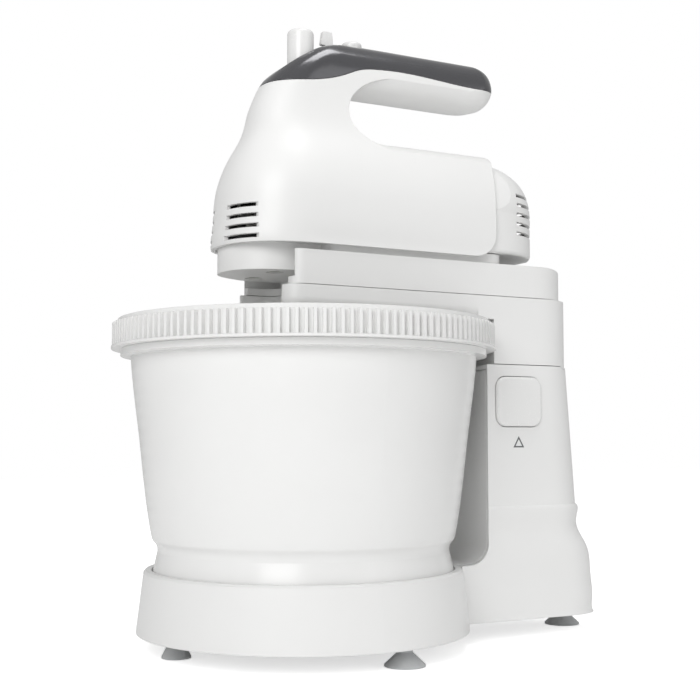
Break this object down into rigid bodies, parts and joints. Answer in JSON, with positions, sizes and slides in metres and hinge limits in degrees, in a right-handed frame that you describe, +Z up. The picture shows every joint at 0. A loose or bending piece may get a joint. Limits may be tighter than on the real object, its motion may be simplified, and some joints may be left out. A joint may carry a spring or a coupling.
{
  "type": "stand hand mixer",
  "caption": "Electric hand mixer lying on a tilting stand arm, over a round bowl whose toothed rim ring is turned by a gear train in the arm.",
  "frame": {"origin": "middle of the bounding box, on the surface the feet stand on", "axes": "+Z up, -Y to the front where the bowl stands, +X to the side with the release button"},
  "size_m": [0.231, 0.319, 0.3771],
  "materials": {
    "white_plastic": "satin moulded white plastic",
    "bowl_plastic": "glossy moulded white plastic",
    "graphite_plastic": "glossy graphite plastic",
    "grey_rubber": "soft grey rubber",
    "nylon": "natural moulded nylon",
    "dark_plastic": "matt black plastic",
    "steel": "zinc plated steel",
    "lamination": "laminated steel with windings",
    "bronze": "sintered bronze and brass"
  },
  "bodies": {
    "stand": {"base_body": "white_plastic", "column_shell": "white_plastic", "base_cover": "white_plastic", "column_cover": "white_plastic", "suction_foot_right": "grey_rubber", "suction_foot_left": "grey_rubber", "suction_foot_rear": "grey_rubber", "front_pad": "grey_rubber", "base_screws": "steel", "bowl_pin": "nylon", "hinge_pin": "steel"},
    "tilt_head": {"arm_lower": "white_plastic", "arm_upper": "white_plastic", "arm_screws": "steel", "gear_posts": "steel"},
    "turning_bowl": {"bowl": "bowl_plastic", "bowl_ring": "white_plastic"},
    "bowl_pinion_shaft": {"bowl_pinion": "nylon", "pinion_gear": "nylon"},
    "rear_idler_wheel": {"rear_idler": "nylon"},
    "front_idler_wheel": {"front_idler": "nylon"},
    "collar_wheel": {"collar_gear": "nylon"},
    "release": {"release_button": "white_plastic", "latch_slide": "nylon"},
    "mixer": {"jacket": "white_plastic", "handle_cap": "graphite_plastic", "rear_cover": "white_plastic", "inlet_bush": "grey_rubber", "lower_housing": "white_plastic", "housing_screws": "steel", "motor_stator": "lamination", "gear_frame": "dark_plastic", "front_bearing": "bronze", "rear_bearing": "bronze", "brush_holders": "bronze", "switch_block": "dark_plastic"},
    "rotor": {"armature": "lamination", "cooling_fan": "dark_plastic"},
    "left_spindle": {"spindle_left": "nylon"},
    "right_spindle": {"spindle_right": "nylon"},
    "eject": {"eject_button": "white_plastic", "eject_yoke": "dark_plastic"},
    "turbo": {"turbo_button": "white_plastic"},
    "selector": {"speed_selector": "white_plastic"}
  },
  "joints": [
    {"name": "head_tilt", "type": "hinge", "parent": "stand", "child": "tilt_head", "pos_m": [0, 0.127, 0.1802], "axis": [-1, 0, 0], "range_deg": [0, 48]},
    {"name": "bowl_turn", "type": "hinge", "parent": "stand", "child": "turning_bowl", "pos_m": [0, -0.044, 0.045], "axis": [0, 0, 1], "continuous": true},
    {"name": "pinion_turn", "type": "hinge", "parent": "tilt_head", "child": "bowl_pinion_shaft", "pos_m": [0, 0.0816, 0.185], "axis": [0, 0, 1], "continuous": true},
    {"name": "rear_idler_turn", "type": "hinge", "parent": "tilt_head", "child": "rear_idler_wheel", "pos_m": [0, 0.0306, 0.206], "axis": [0, 0, 1], "continuous": true},
    {"name": "front_idler_turn", "type": "hinge", "parent": "tilt_head", "child": "front_idler_wheel", "pos_m": [0, -0.0174, 0.206], "axis": [0, 0, 1], "continuous": true},
    {"name": "collar_turn", "type": "hinge", "parent": "tilt_head", "child": "collar_wheel", "pos_m": [0.02, -0.05088, 0.206], "axis": [0, 0, 1], "continuous": true},
    {"name": "release_press", "type": "slide", "parent": "stand", "child": "release", "axis": [-1, 0, 0], "range_m": [0, 0.004], "stiffness_N_per_m": 900},
    {"name": "mixer_lift", "type": "slide", "parent": "tilt_head", "child": "mixer", "axis": [0, 0, 1], "range_m": [0, 0.12]},
    {"name": "motor_spin", "type": "hinge", "parent": "mixer", "child": "rotor", "pos_m": [0, 0.034, 0.2635], "axis": [0, 1, 0], "continuous": true},
    {"name": "left_spindle_turn", "type": "hinge", "parent": "mixer", "child": "left_spindle", "pos_m": [0.0155, -0.071, 0.2635], "axis": [0, 0, 1], "continuous": true},
    {"name": "right_spindle_turn", "type": "hinge", "parent": "mixer", "child": "right_spindle", "pos_m": [-0.0155, -0.071, 0.2635], "axis": [0, 0, 1], "continuous": true},
    {"name": "eject_press", "type": "slide", "parent": "mixer", "child": "eject", "axis": [0, 0, -1], "range_m": [0, 0.006], "stiffness_N_per_m": 1200},
    {"name": "turbo_press", "type": "slide", "parent": "mixer", "child": "turbo", "axis": [0, 0, -1], "range_m": [0, 0.002], "stiffness_N_per_m": 1500},
    {"name": "speed_select", "type": "hinge", "parent": "mixer", "child": "selector", "pos_m": [0, -0.0117, 0.36], "axis": [0, 0, 1], "range_deg": [-30, 30]}
  ],
  "couplings": [
    {"joint": "pinion_turn", "follows": "bowl_turn", "ratio": -10},
    {"joint": "rear_idler_turn", "follows": "bowl_turn", "ratio": 11.25},
    {"joint": "front_idler_turn", "follows": "bowl_turn", "ratio": -11.25},
    {"joint": "collar_turn", "follows": "bowl_turn", "ratio": 18},
    {"joint": "left_spindle_turn", "follows": "motor_spin", "ratio": 0.041667},
    {"joint": "right_spindle_turn", "follows": "motor_spin", "ratio": -0.041667}
  ]
}
